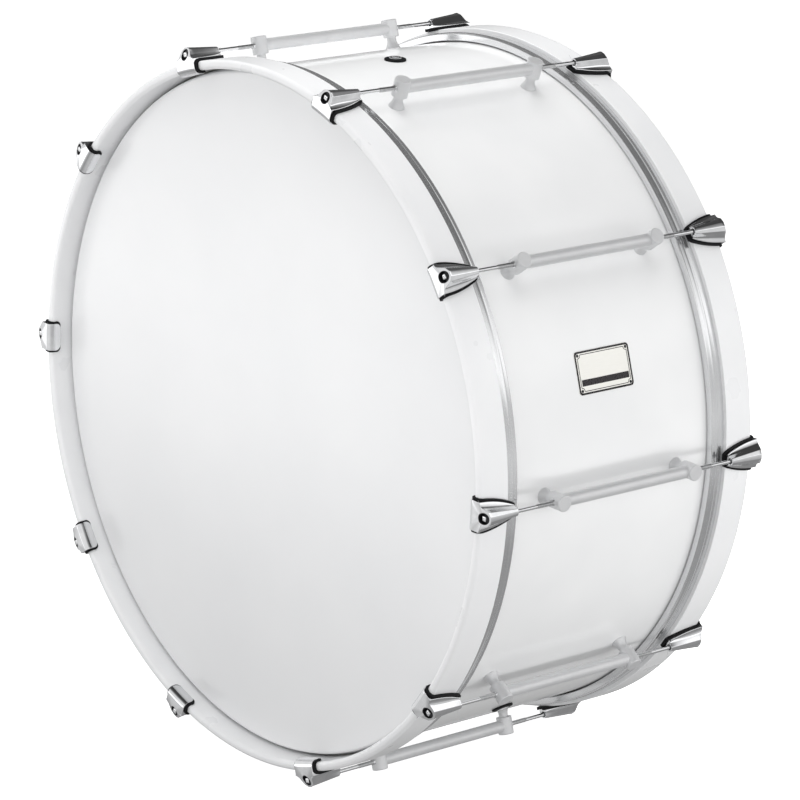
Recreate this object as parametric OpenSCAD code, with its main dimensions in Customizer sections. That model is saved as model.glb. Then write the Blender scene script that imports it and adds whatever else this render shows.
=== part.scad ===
// Marching bass drum: a plywood shell with a head at each end. Wooden counter hoops press the heads
// over the shell's bearing edges, pulled in by claws and key rods that screw into tube lugs.
// The drum's axis lies along Y and the front head faces -Y. It stands on its lowest lug posts.
// Lengths are in millimetres and angles in degrees.

/* [Shell] */
// Outside diameter of the shell over its covering
shell_d = 810; // [700:1:900]
// Depth of the shell between its two bearing edges
shell_depth = 355.6; // [330:0.1:420]
// Thickness of the plywood
shell_wall = 8; // [6:0.5:11]
// Thickness of the glossy covering
covering_t = 0.5; // [0.3:0.1:1]
// Radius of the outer round-over of each bearing edge
edge_round = 3; // [2:0.5:4.5]
// How far the covering stops short of each bearing edge
covering_margin = 6; // [5:0.5:9]

/* [Heads] */
// Thickness of the head film
film_t = 0.3; // [0.2:0.05:0.4]
// Depth from the bearing edge to the top of the flesh hoop
collar_depth = 13.6; // [12:0.1:16]
// Radial gap between the shell covering and the flesh hoop
head_clearance = 1.4; // [1:0.1:2.5]
// Radial width of the flesh hoop
flesh_w = 9; // [8:0.5:11]
// Axial height of the flesh hoop
flesh_h = 18; // [15:0.5:20]
// Sheet thickness of the flesh hoop's channel
flesh_t = 1.2; // [1:0.1:1.6]
// Radius of the flesh hoop's outer rounded edge
flesh_round = 3; // [2:0.5:4]

/* [Counter hoops] */
// Radial thickness of the counter hoop
hoop_t = 11.1; // [9:0.1:14]
// Axial width of the counter hoop
hoop_w = 40.1; // [34:0.1:46]
// Radius of the counter hoop's edges on its playing side
hoop_round = 3.2; // [2:0.2:4]
// Step from the flesh hoop's bore out to the counter hoop's bore
hoop_inset = 2.7; // [2.3:0.1:3.2]

/* [Lugs] */
// Distance between the two post axes of one lug
post_spacing = 197.2; // [170:0.1:205]
// Outside diameter of the lug tube
tube_d = 14.8; // [13:0.1:16]
// Wall thickness of the lug tube
tube_wall = 1.6; // [1:0.1:2.2]
// Diameter of the round boss at the top of a post
boss_d = 19; // [18.5:0.5:22]
// Height of the boss
boss_h = 21.5; // [20:0.5:24]
// Diameter of the post's foot on the shell
foot_d = 18.5; // [16:0.5:22]
// Diameter of the post's narrow neck
neck_d = 11; // [9:0.5:13]
// Diameter of the screw that holds a post
post_screw_d = 5; // [4:0.5:6]

/* [Claws] */
// Width of a claw at the counter hoop
claw_w = 34.6; // [30:0.2:38]
// Length of a claw from its face to its tail
claw_len = 48.6; // [44:0.1:54]
// Thickness of the claw's front plate
claw_plate_t = 2.5; // [2:0.1:3.5]
// Depth that the claw hooks into the counter hoop
lip_depth = 15.5; // [13:0.5:19]
// Thickness of the lip inside the counter hoop
lip_t = 2; // [1.6:0.1:2.6]
// Thickness of the rubber liner outside and in front of the hoop
liner_t = 2.5; // [2:0.1:3]
// Thickness of the rubber liner inside the hoop
liner_inner_t = 1.7; // [1.4:0.1:2.2]
// Diameter of the recess for the key rod's head
recess_d = 13.2; // [12.8:0.1:14]

/* [Key rods] */
// Diameter of a key rod's plain shank
shank_d = 4.8; // [4.4:0.1:5]
// Outside diameter of a key rod's thread
thread_d = 5.5; // [5.2:0.1:6]
// Length of the threaded end
thread_len = 43; // [36:1:48]
// Width of the square drive on the head
drive_w = 6; // [5.4:0.1:6.6]
// Diameter of the round flange under the drive
flange_d = 10.4; // [9.6:0.1:11]

/* [Badge and vents] */
// Length of the badge along the drum's axis
badge_l = 81; // [60:1:100]
// Height of the badge around the shell
badge_h = 49; // [36:1:60]
// Thickness of the badge plate
badge_t = 0.8; // [0.5:0.1:1.2]
// Outside diameter of a vent's rubber ring
vent_d = 26; // [22:1:30]
// Bore of a vent's eyelet
vent_bore = 8; // [6:0.5:9]

/* [Hidden] */

// Resolution of large rings, of large cutting cylinders, of small round parts and of profile arcs
ring_fn = 180;
fine_fn = 720;
small_fn = 48;
arc_steps = 5;
// Small clearance between parts that bear on each other
seat_gap = 0.2;
// Clearance of the taut film over the bearing edge
film_gap = 0.3;
// Overshoot of cutting tools past the surface they cut
cut = 1;

// Ten lugs stand at equal angles, with the drum's lowest line midway between two of them
lug_count = 10;
lug_step = 360 / lug_count;
half_step = lug_step / 2;
// Angles run from the top towards +X
badge_angle = 2 * lug_step;
vent_angles = [0, 4 * lug_step];

// Shell radii and the height of its bearing edges from the middle
shell_r = shell_d / 2;
ply_r = shell_r - covering_t;
shell_ir = ply_r - shell_wall;
edge_y = shell_depth / 2;
edge_centre = [ply_r - edge_round, edge_y - edge_round];

// Flesh hoop channel, open towards the playing side
flesh_ir = shell_r + head_clearance;
flesh_or = flesh_ir + flesh_w;
flesh_top_y = edge_y - collar_depth;
flesh_base_y = flesh_top_y - flesh_h;
flesh_inner_drop = 1.7;
resin_h = 9;

// Counter hoop, standing on the flesh hoop's outer wall
hoop_ir = flesh_ir + hoop_inset;
hoop_or = hoop_ir + hoop_t;
hoop_face_y = flesh_top_y + hoop_w;
hoop_back_round = 1;

// Claw faces, measured outwards from the middle of the drum
plate_back_y = hoop_face_y + liner_t + seat_gap;
liner_bend_r = hoop_round + liner_t;
lip_bend_r = hoop_round + liner_inner_t;
claw_face_y = plate_back_y + claw_plate_t;
claw_tail_y = claw_face_y - claw_len;
liner_or = hoop_or + seat_gap + liner_t;
liner_ir = hoop_ir - seat_gap - liner_inner_t;
lip_top_r = liner_ir - seat_gap;
lip_base_r = lip_top_r - lip_t;
lip_end_y = claw_face_y - lip_depth;
lip_corner = 6;
liner_tail_len = 3.5;
liner_proud = 1.2;

// The key rod's axis clears the claw's floor, so it sets how high the lugs stand
recess_r = recess_d / 2;
recess_floor_t = 0.5;
lug_axis_r = liner_or + recess_floor_t + recess_r;
barrel_wall = 2;
barrel_front_r = recess_r + barrel_wall;
barrel_tail_r = 4.9;
recess_depth = 10;
recess_y = claw_face_y - recess_depth;
claw_bore_r = thread_d / 2 + 0.75;

// Washers stacked in the claw's recess under the key rod's head
nylon_t = 1.5;
nylon_d = recess_d - 0.5;
steel_t = 1.2;
steel_d = recess_d - 1.2;
washer_bore_d = thread_d + 0.6;
flange_y = recess_y + nylon_t + steel_t + 2 * seat_gap;
flange_t = 1.5;
drive_y = flange_y + flange_t;
drive_end_y = claw_face_y - 0.5;

// Lug posts, their threaded inserts and the key rod's reach into them
post_y = post_spacing / 2;
boss_r = boss_d / 2;
boss_round = 1.4;
boss_top_r = lug_axis_r + boss_h / 2;
boss_base_r = lug_axis_r - boss_h / 2;
foot_rim = 1.2;
neck_r = neck_d / 2;
foot_r = foot_d / 2;
tube_end_y = post_y - 3;
insert_d = 9;
insert_end_y = post_y + boss_r - 0.6;
insert_start_y = post_y - 6;
collar_d = 7.6;
collar_end_y = post_y + boss_r + 1.3;
thread_clearance = 0.05;
rod_tip_y = post_y - 10;
rod_point = 1;
thread_start_y = rod_tip_y + thread_len;

// Screws that hold the posts from inside the shell
screw_washer_d = 16;
screw_washer_t = 1.2;
screw_head_d = 10;
screw_head_h = 3.5;
screw_hole_d = post_screw_d + 1;
screw_seat_r = sqrt(pow(shell_ir, 2) - pow(screw_washer_d / 2, 2));
screw_reach_r = lug_axis_r - insert_d / 2 - 5;

// Badge pins and vent eyelets
badge_corner = 4;
pin_inset = 4.6;
pin_head_d = 3;
pin_head_h = 0.7;
pin_shank_d = 1.6;
pin_depth = 5.5;
vent_ring_h = 2.2;
vent_ring_bore = 12;
eyelet_flange_d = 15;
eyelet_flange_t = 1.6;
eyelet_lip_d = 16;
eyelet_lip_t = 1;

// Height of the drum's axis above the surface that it stands on
boss_low = (boss_top_r - boss_round) * cos(half_step) + (boss_r - boss_round) * sin(half_step) + boss_round;
axis_z = max(boss_low, hoop_or);

// Points of an arc round a centre, from one angle to another
function arc_points(centre, r, a0, a1) =
    [for (i = [0:arc_steps]) let (a = a0 + (a1 - a0) * i / arc_steps) centre + r * [cos(a), sin(a)]];

// Rectangle between two radii and two heights, with rounded corners at its low and high ends
function rounded_band(r0, r1, y0, y1, low_round, high_round) = concat(
    arc_points([r0 + low_round, y0 + low_round], low_round, 180, 270),
    arc_points([r1 - low_round, y0 + low_round], low_round, 270, 360),
    arc_points([r1 - high_round, y1 - high_round], high_round, 0, 90),
    arc_points([r0 + high_round, y1 - high_round], high_round, 90, 180));

function unit(v) = v / norm(v);
function left_of(a, b) = let (d = unit(b - a)) [-d.y, d.x];

// Point of a path moved sideways, along the mitre of the two runs that meet there
function side_point(path, i, shift) =
    let (
        last = len(path) - 1,
        before = left_of(path[max(i - 1, 0)], path[max(i, 1)]),
        after = left_of(path[min(i, last - 1)], path[min(i + 1, last)]),
        mitre = unit(before + after)
    ) path[i] + mitre * shift / (mitre * before);

// Outline of a strip of even thickness along a path
function strip(path, t) = concat(
    [for (i = [0:len(path) - 1]) side_point(path, i, t / 2)],
    [for (i = [len(path) - 1:-1:0]) side_point(path, i, -t / 2)]);

// The film lies flat over the edge, bends down past it and runs into the flesh hoop's channel
film_bend_r = edge_round + film_gap + film_t / 2;
film_mouth = [flesh_ir + flesh_t + 0.6, flesh_top_y];
film_drop = film_mouth - edge_centre;
film_bend_end = atan2(film_drop.y, film_drop.x) + acos(film_bend_r / norm(film_drop));
film_path = concat(
    [[0, edge_centre.y + film_bend_r]],
    arc_points(edge_centre, film_bend_r, 90, film_bend_end),
    [
        film_mouth,
        [film_mouth.x + 0.5, flesh_base_y + flesh_t + 3.4],
        [film_mouth.x + 2.6, flesh_base_y + flesh_t + 1.8]
    ]);

// Half width of a claw at a distance from its tail towards its face
claw_tail_half_w = 6.8;
function claw_half_w(y) =
    let (s = min(max((y - claw_tail_y) / (claw_len - claw_plate_t), 0), 1))
    claw_tail_half_w + (claw_w / 2 - claw_tail_half_w) * (1.8 * s - 0.8 * s * s);

// Plan of a claw or its liner, from the tail to the face
plan_steps = 8;
function plan_points(y0, y1, extra) = concat(
    [for (i = [0:plan_steps]) let (y = y0 + (y1 - y0) * i / plan_steps) [claw_half_w(y) + extra, y]],
    [for (i = [plan_steps:-1:0]) let (y = y0 + (y1 - y0) * i / plan_steps) [-claw_half_w(y) - extra, y]]);

// Plan of the lip of a claw or its liner, with rounded corners at its end
function lip_plan(end_y, corner, extra) =
    let (half = claw_w / 2 + extra) concat(
        arc_points([corner - half, end_y + corner], corner, 180, 270),
        arc_points([half - corner, end_y + corner], corner, 270, 360),
        [[half, claw_face_y + cut], [-half, claw_face_y + cut]]);

// Moves a piece drawn round the drum's axis to the drum's height
module at_axis() {
    translate([0, 0, axis_z])
        children();
}

// Solid of revolution round Y from a profile of radius and height
module ring(profile) {
    rotate([-90, 0, 0])
        rotate_extrude($fn = ring_fn)
            polygon(profile);
}

// Turns a piece drawn at the top of the drum to an angle round the axis
module turned(angle) {
    rotate([0, angle, 0])
        children();
}

// Copies of a piece at every lug
module at_lugs() {
    for (i = [0:lug_count - 1])
        turned(lug_step * i - half_step)
            children();
}

// Pieces are drawn for the rear head, and mirrored for the front one
module facing(front) {
    if (front)
        mirror([0, 1, 0])
            children();
    else
        children();
}

// Both ends of the drum
module both_ends() {
    facing(false)
        children();
    facing(true)
        children();
}

// Cylinder or cone along Y on the key rod's axis
module on_rod_axis(y0, y1, r0, r1) {
    translate([0, y0, lug_axis_r])
        rotate([-90, 0, 0])
            cylinder(h = y1 - y0, r1 = r0, r2 = r1, $fn = small_fn);
}

// Cone whose axis runs between two points
module cone_between(p, q, r0, r1) {
    d = q - p;
    translate(p)
        rotate([0, acos(d.z / norm(d)), atan2(d.y, d.x)])
            cylinder(h = norm(d), r1 = r0, r2 = r1, $fn = small_fn);
}

// Drilled holes for post screws, badge pins and vents
module shell_holes() {
    both_ends()
        at_lugs()
            translate([0, post_y, shell_ir - cut])
                cylinder(h = shell_r - shell_ir + 2 * cut, d = screw_hole_d, $fn = small_fn);
    badge_pin_places()
        translate([0, 0, shell_r - pin_depth])
            cylinder(h = pin_depth + cut, d = pin_shank_d + 0.1, $fn = small_fn);
    for (a = vent_angles)
        turned(a)
            translate([0, 0, shell_ir - cut])
                cylinder(h = shell_r - shell_ir + 2 * cut, d = vent_ring_bore, $fn = small_fn);
}

// Plywood tube with a rounded outer edge and a 45 degree inner cut at each end
module shell() {
    rise = edge_centre.x - shell_ir;
    end_profile = concat(
        arc_points(edge_centre, edge_round, 0, 90),
        [[shell_ir, edge_y - rise]]);
    far_end = [for (i = [len(end_profile) - 1:-1:0]) [end_profile[i].x, -end_profile[i].y]];
    color("burlywood")
        at_axis()
            difference() {
                ring(concat(end_profile, far_end));
                shell_holes();
            }
}

// Glossy sheet wrapped round the plywood
module shell_covering() {
    half = edge_y - covering_margin;
    color("white")
        at_axis()
            difference() {
                ring([[ply_r, -half], [shell_r, -half], [shell_r, half], [ply_r, half]]);
                shell_holes();
            }
}

// Tubes that join the two posts of each lug
module lug_tubes() {
    color("gainsboro")
        at_axis()
            at_lugs()
                difference() {
                    on_rod_axis(-tube_end_y, tube_end_y, tube_d / 2, tube_d / 2);
                    on_rod_axis(-tube_end_y - cut, tube_end_y + cut,
                        tube_d / 2 - tube_wall, tube_d / 2 - tube_wall);
                }
}

// Post with a flared foot, a narrow neck and a round boss
module lug_post() {
    flare_base_r = shell_r + foot_rim;
    flare_h = boss_base_r - 2 - flare_base_r;
    profile = concat(
        [[0, shell_r - cut], [foot_r, shell_r - cut]],
        [for (i = [0:arc_steps]) let (t = i / arc_steps)
            [neck_r + (foot_r - neck_r) * pow(1 - t, 2), flare_base_r + flare_h * t]],
        [[neck_r, boss_base_r], [boss_r - 0.4, boss_base_r], [boss_r, boss_base_r + 0.4]],
        arc_points([boss_r - boss_round, boss_top_r - boss_round], boss_round, 0, 90),
        [[0, boss_top_r]]);
    difference() {
        translate([0, post_y, 0])
            rotate_extrude($fn = small_fn)
                polygon(profile);
        rotate([-90, 0, 0])
            translate([0, 0, post_y - foot_d])
                cylinder(h = 2 * foot_d, r = shell_r, $fn = fine_fn);
        on_rod_axis(post_y - boss_r - cut, tube_end_y, tube_d / 2, tube_d / 2);
        on_rod_axis(tube_end_y - cut, insert_end_y, insert_d / 2, insert_d / 2);
        on_rod_axis(insert_end_y - cut, collar_end_y + cut, collar_d / 2, collar_d / 2);
        translate([0, post_y, shell_r - cut])
            cylinder(h = screw_reach_r + 1 - shell_r + cut, d = post_screw_d, $fn = small_fn);
    }
}

module lug_posts(front) {
    color("gainsboro")
        at_axis()
            facing(front)
                at_lugs()
                    lug_post();
}

// Threaded inserts that the key rods screw into
module lug_inserts() {
    color("silver")
        at_axis()
            both_ends()
                at_lugs()
                    difference() {
                        union() {
                            on_rod_axis(insert_start_y, insert_end_y, insert_d / 2, insert_d / 2);
                            on_rod_axis(insert_end_y - cut, collar_end_y, collar_d / 2, collar_d / 2);
                        }
                        on_rod_axis(insert_start_y - cut, collar_end_y + cut,
                            thread_d / 2 + thread_clearance, thread_d / 2 + thread_clearance);
                    }
}

// Round-headed screws, driven outwards through the shell into the posts
module lug_screws() {
    head_top_r = screw_seat_r - screw_washer_t;
    color("silver")
        at_axis()
            both_ends()
                at_lugs()
                    translate([0, post_y, head_top_r - screw_head_h])
                        union() {
                            cylinder(h = screw_head_h, d = screw_head_d, $fn = small_fn);
                            cylinder(h = screw_reach_r - head_top_r + screw_head_h,
                                d = post_screw_d, $fn = small_fn);
                        }
}

// Flat washers between the screws' heads and the shell
module lug_washers() {
    color("silver")
        at_axis()
            both_ends()
                at_lugs()
                    translate([0, post_y, screw_seat_r - screw_washer_t])
                        difference() {
                            cylinder(h = screw_washer_t, d = screw_washer_d, $fn = small_fn);
                            translate([0, 0, -cut])
                                cylinder(h = screw_washer_t + 2 * cut, d = screw_hole_d, $fn = small_fn);
                        }
}

// Rubber rings that seat the vent eyelets on the shell
module vent_rings() {
    in_r = vent_ring_bore / 2 + 0.1;
    out_r = vent_d / 2;
    edge_r = 0.9;
    band = concat(
        [[in_r, -vent_ring_h], [out_r, -vent_ring_h]],
        arc_points([out_r - edge_r, vent_ring_h - edge_r], edge_r, 0, 90),
        arc_points([in_r + edge_r, vent_ring_h - edge_r], edge_r, 90, 180));
    color("black")
        at_axis()
            for (a = vent_angles)
                turned(a)
                    difference() {
                        translate([0, 0, shell_r])
                            rotate_extrude($fn = small_fn)
                                polygon(band);
                        rotate([-90, 0, 0])
                            translate([0, 0, -vent_d])
                                cylinder(h = 2 * vent_d, r = shell_r, $fn = fine_fn);
                    }
}

// Eyelets through the shell, turned over outside and inside
module vent_eyelets() {
    tube_r = vent_ring_bore / 2 - 0.2;
    top_r = shell_r + vent_ring_h;
    lip_seat_r = sqrt(pow(shell_ir, 2) - pow(eyelet_lip_d / 2, 2));
    bore_r = vent_bore / 2;
    flange_r = eyelet_flange_d / 2;
    low = lip_seat_r - eyelet_lip_t;
    profile = concat(
        [[bore_r, low], [eyelet_lip_d / 2, low], [eyelet_lip_d / 2, lip_seat_r], [tube_r, lip_seat_r]],
        [[tube_r, top_r], [flange_r, top_r]],
        arc_points([flange_r - 0.8, top_r + eyelet_flange_t - 0.8], 0.8, 0, 90),
        arc_points([bore_r + 1, top_r + eyelet_flange_t - 1], 1, 90, 180));
    color("silver")
        at_axis()
            for (a = vent_angles)
                turned(a)
                    rotate_extrude($fn = small_fn)
                        polygon(profile);
}

// The four corners of the badge where its pins go
module badge_pin_places() {
    turned(badge_angle)
        for (y = [-1, 1], x = [-1, 1])
            rotate([0, x * (badge_h / 2 - pin_inset) / shell_r * 180 / PI, 0])
                translate([0, y * (badge_l / 2 - pin_inset), 0])
                    children();
}

// Thin curved plate with rounded corners
module badge_plate() {
    corner_x = badge_h / 2 - badge_corner;
    corner_y = badge_l / 2 - badge_corner;
    color("ivory")
        at_axis()
            difference() {
                intersection() {
                    ring([
                        [shell_r, -badge_l], [shell_r + badge_t, -badge_l],
                        [shell_r + badge_t, badge_l], [shell_r, badge_l]]);
                    turned(badge_angle)
                        linear_extrude(height = shell_d)
                            polygon(concat(
                                arc_points([corner_x, corner_y], badge_corner, 0, 90),
                                arc_points([-corner_x, corner_y], badge_corner, 90, 180),
                                arc_points([-corner_x, -corner_y], badge_corner, 180, 270),
                                arc_points([corner_x, -corner_y], badge_corner, 270, 360)));
                }
                badge_pin_places()
                    cylinder(h = shell_d, d = pin_shank_d + 0.1, $fn = small_fn);
            }
}

// Domed pins that nail the badge to the shell
module badge_pins() {
    seat_r = shell_r + badge_t;
    head_r = pin_head_d / 2;
    color("dimgray")
        at_axis()
            badge_pin_places()
                rotate_extrude($fn = small_fn)
                    polygon(concat(
                        [[0, seat_r - pin_depth], [pin_shank_d / 2, seat_r - pin_depth]],
                        [[pin_shank_d / 2, seat_r], [head_r, seat_r]],
                        [for (i = [1:arc_steps]) let (a = 90 * i / arc_steps)
                            [head_r * cos(a), seat_r + pin_head_h * sin(a)]]));
}

// Taut film with its collar and its bent edge
module head_film(front) {
    color("whitesmoke")
        at_axis()
            facing(front)
                ring(strip(film_path, film_t));
}

// Cast resin that locks the film's edge into the flesh hoop
module head_resin(front) {
    base = flesh_base_y + flesh_t;
    ease = flesh_round - flesh_t + 0.2;
    wall_r = flesh_or - flesh_t;
    color("lightgray")
        at_axis()
            facing(front)
                difference() {
                    ring([
                        [flesh_ir + flesh_t, base], [wall_r - ease, base], [wall_r, base + ease],
                        [wall_r, base + resin_h], [flesh_ir + flesh_t, base + resin_h]]);
                    ring(strip([for (i = [len(film_path) - 3:len(film_path) - 1]) film_path[i]],
                        film_t + seat_gap));
                }
}

// Channel-shaped ring of bent metal
module flesh_hoop(front) {
    inner_round = flesh_round - flesh_t;
    profile = concat(
        [[flesh_ir, flesh_top_y - flesh_inner_drop], [flesh_ir, flesh_base_y + flesh_t]],
        arc_points([flesh_ir + flesh_t, flesh_base_y + flesh_t], flesh_t, 180, 270),
        arc_points([flesh_or - flesh_round, flesh_base_y + flesh_round], flesh_round, 270, 360),
        [[flesh_or, flesh_top_y], [flesh_or - flesh_t, flesh_top_y]],
        arc_points([flesh_or - flesh_round, flesh_base_y + flesh_round], inner_round, 360, 270),
        [[flesh_ir + flesh_t, flesh_base_y + flesh_t], [flesh_ir + flesh_t, flesh_top_y - flesh_inner_drop]]);
    color("silver")
        at_axis()
            facing(front)
                ring(profile);
}

// Wooden ring with eased edges
module counter_hoop(front) {
    color("white")
        at_axis()
            facing(front)
                ring(rounded_band(hoop_ir, hoop_or, flesh_top_y, hoop_face_y, hoop_back_round, hoop_round));
}

// Flutes that hollow the wings and the front plate on each side of the barrel
module claw_flutes() {
    front_r = 11.2;
    tail_r = 7.6;
    front_centre = [claw_w / 2 + 2.3, claw_face_y, liner_or + 12.2];
    tail_centre = [claw_tail_half_w + 5, claw_tail_y, liner_or + 9.6];
    reach = (front_centre - tail_centre) * 0.1;
    taper = (front_r - tail_r) * 0.1;
    for (side = [0, 1])
        mirror([side, 0, 0])
            cone_between(tail_centre - reach, front_centre + reach, tail_r - taper, front_r + taper);
}

// Two plans stacked outwards: the lip's inside the counter hoop, and the wings' outside it
module lip_and_wings(lip_end, corner, extra) {
    split_r = (hoop_ir + hoop_or) / 2;
    lip_start = lip_base_r - cut;
    translate([0, 0, lip_start])
        linear_extrude(height = split_r - lip_start + cut)
            polygon(lip_plan(lip_end, corner, extra));
    translate([0, 0, split_r])
        linear_extrude(height = lug_axis_r + 1.5 - split_r)
            children();
}

// Space inside the claw for the liner, with the bends of the liner's outer side
module claw_cavity() {
    cavity_r = liner_or + seat_gap;
    back_y = claw_tail_y - cut;
    ring(concat(
        [[lip_top_r, back_y], [cavity_r, back_y]],
        arc_points([cavity_r - liner_bend_r, plate_back_y - liner_bend_r], liner_bend_r, 0, 90),
        arc_points([lip_top_r + lip_bend_r, plate_back_y - lip_bend_r], lip_bend_r, 90, 180)));
}

// Envelope that rounds the lip's outer bend and ends the lip inside the counter hoop
module claw_envelope() {
    bend_r = lip_bend_r + lip_t;
    top_r = lug_axis_r + 2 * barrel_front_r;
    ring(concat(
        [[top_r, claw_face_y], [top_r, claw_tail_y], [lip_top_r, claw_tail_y]],
        [[lip_top_r, lip_end_y], [lip_base_r, lip_end_y]],
        arc_points([lip_base_r + bend_r, claw_face_y - bend_r], bend_r, 180, 90)));
}

// Cast claw: a tapered barrel for the key rod, wings on the hoop and a hook over it
module claw() {
    difference() {
        union() {
            intersection() {
                difference() {
                    lip_and_wings(lip_end_y, lip_corner, 0)
                        polygon(plan_points(claw_tail_y + 1, claw_face_y + cut, 0));
                    claw_flutes();
                }
                claw_envelope();
            }
            on_rod_axis(claw_tail_y, claw_face_y, barrel_tail_r, barrel_front_r);
        }
        claw_cavity();
        on_rod_axis(recess_y, claw_face_y + cut, recess_r, recess_r);
        on_rod_axis(claw_tail_y - cut, recess_y + cut, claw_bore_r, claw_bore_r);
    }
}

module claws(front) {
    color("silver")
        at_axis()
            facing(front)
                at_lugs()
                    claw();
}

// Rubber strips between the claws and the counter hoop, bent round the hoop's face
module claw_liners(front) {
    gap_r = hoop_or + seat_gap;
    bore_r = hoop_ir - seat_gap;
    face_y = hoop_face_y + seat_gap;
    top_y = plate_back_y - seat_gap;
    tail_y = claw_tail_y - liner_tail_len;
    end_y = lip_end_y - 1;
    bend_r = hoop_round + seat_gap;
    tail_r = 3.4;
    tail_half_w = claw_tail_half_w + liner_proud;
    profile = concat(
        [[gap_r, tail_y], [liner_or, tail_y]],
        arc_points([liner_or - liner_bend_r, top_y - liner_bend_r], liner_bend_r, 0, 90),
        arc_points([liner_ir + lip_bend_r, top_y - lip_bend_r], lip_bend_r, 90, 180),
        [[liner_ir, end_y], [bore_r, end_y]],
        arc_points([bore_r + bend_r, face_y - bend_r], bend_r, 180, 90),
        arc_points([gap_r - bend_r, face_y - bend_r], bend_r, 90, 0));
    color("black")
        at_axis()
            facing(front)
                at_lugs()
                    intersection() {
                        ring(profile);
                        lip_and_wings(end_y, lip_corner, liner_proud)
                            polygon(concat(
                                arc_points([tail_r - tail_half_w, tail_y + tail_r], tail_r, 180, 270),
                                arc_points([tail_half_w - tail_r, tail_y + tail_r], tail_r, 270, 360),
                                plan_points(claw_tail_y, claw_face_y, liner_proud)));
                    }
}

// Washer on the key rod's axis
module rod_washer(y0, t, d) {
    difference() {
        on_rod_axis(y0, y0 + t, d / 2, d / 2);
        on_rod_axis(y0 - cut, y0 + t + cut, washer_bore_d / 2, washer_bore_d / 2);
    }
}

module nylon_washers(front) {
    color("black")
        at_axis()
            facing(front)
                at_lugs()
                    rod_washer(recess_y, nylon_t, nylon_d);
}

module steel_washers(front) {
    color("silver")
        at_axis()
            facing(front)
                at_lugs()
                    rod_washer(recess_y + nylon_t + seat_gap, steel_t, steel_d);
}

// Key rod with a square drive, a round flange, a plain shank and a threaded end
module key_rod(front, index) {
    color("silver")
        at_axis()
            facing(front)
                turned(lug_step * (index - 1) - half_step) {
                    translate([-drive_w / 2, flange_y, lug_axis_r - drive_w / 2])
                        cube([drive_w, drive_end_y - flange_y, drive_w]);
                    on_rod_axis(flange_y, drive_y, flange_d / 2, flange_d / 2);
                    on_rod_axis(thread_start_y, flange_y + flange_t / 2, shank_d / 2, shank_d / 2);
                    on_rod_axis(rod_tip_y + rod_point, thread_start_y, thread_d / 2, thread_d / 2);
                    on_rod_axis(rod_tip_y, rod_tip_y + rod_point, thread_d / 2 - rod_point, thread_d / 2);
                }
}

shell();
shell_covering();
lug_tubes();
lug_posts(true);  // front_lug_posts
lug_posts(false);  // rear_lug_posts
lug_inserts();
lug_screws();
lug_washers();
vent_rings();
vent_eyelets();
badge_plate();
badge_pins();
head_film(true);  // front_head_film
head_resin(true);  // front_head_resin
flesh_hoop(true);  // front_flesh_hoop
counter_hoop(true);  // front_counter_hoop
claws(true);  // front_claws
claw_liners(true);  // front_claw_liners
nylon_washers(true);  // front_nylon_washers
steel_washers(true);  // front_steel_washers
head_film(false);  // rear_head_film
head_resin(false);  // rear_head_resin
flesh_hoop(false);  // rear_flesh_hoop
counter_hoop(false);  // rear_counter_hoop
claws(false);  // rear_claws
claw_liners(false);  // rear_claw_liners
nylon_washers(false);  // rear_nylon_washers
steel_washers(false);  // rear_steel_washers
for (i = [1:lug_count])
    key_rod(true, i);
for (i = [1:lug_count])
    key_rod(false, i);
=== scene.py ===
"""The looks of a marching bass drum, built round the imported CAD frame."""

import math

import bmesh
import bpy
import numpy as np
from mathutils import Matrix, Vector


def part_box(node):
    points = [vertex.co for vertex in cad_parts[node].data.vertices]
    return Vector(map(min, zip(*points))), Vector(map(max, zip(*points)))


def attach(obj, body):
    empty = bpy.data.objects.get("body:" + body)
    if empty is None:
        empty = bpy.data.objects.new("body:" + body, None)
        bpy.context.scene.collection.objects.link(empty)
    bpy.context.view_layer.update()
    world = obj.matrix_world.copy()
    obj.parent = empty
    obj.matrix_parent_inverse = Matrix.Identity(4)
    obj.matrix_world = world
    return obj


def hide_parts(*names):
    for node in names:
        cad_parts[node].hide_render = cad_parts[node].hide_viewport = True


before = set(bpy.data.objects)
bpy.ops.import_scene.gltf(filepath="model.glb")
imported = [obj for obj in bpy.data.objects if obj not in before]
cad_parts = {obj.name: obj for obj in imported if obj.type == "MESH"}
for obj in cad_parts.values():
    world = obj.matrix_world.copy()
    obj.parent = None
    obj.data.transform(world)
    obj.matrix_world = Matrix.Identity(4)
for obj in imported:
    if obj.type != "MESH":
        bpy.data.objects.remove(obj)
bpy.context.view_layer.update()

# Sizes are in millimetres and angles in degrees. R is a distance from the drum's axis, and Y runs along it
# from the middle towards the rear head. Pieces are drawn for the rear head, at the drum's top, with the axis
# at height 0. turned() brings them to their angle, mirrored() to the front head, and place() lifts them.
AXIS_Z = 500 * sum(v.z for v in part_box("shell_covering"))
LUG_ANGLES = [36 * i - 18 for i in range(10)]
SHELL_R = 405.0
COVERING_IN, COVERING_END_Y = 404.5, 171.8
FLESH_IN, FLESH_OUT, FLESH_BASE_Y, FLESH_TOP_Y = 406.4, 415.4, 146.2, 164.2
HOOP_IN, HOOP_OUT, HOOP_FACE_Y = 409.1, 420.2, 204.3
ROD_R = 430.0
POST_Y = 98.6
CLAW_TAIL_Y, CLAW_FACE_Y, PLATE_BACK_Y = 160.9, 209.5, 207.0
CLAW_TAIL_HALF, CLAW_HALF, CLAW_TAPER = 6.8, 17.3, 46.1
RECESS_Y, RECESS_R, BORE_R = 199.5, 6.6, 3.5
CAVITY_R = 423.1
LIP_TOP_R, LIP_BASE_R, LIP_END_Y, LIP_CORNER = 407.0, 405.0, 194.0, 6
LEAN_R, LEAN = 424.5, 0.40
LINER_HALF, LINER_TAIL_Y, LINER_END_Y, LINER_TAIL_CORNER = 19.9, 157.4, 193.0, 3.4
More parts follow.
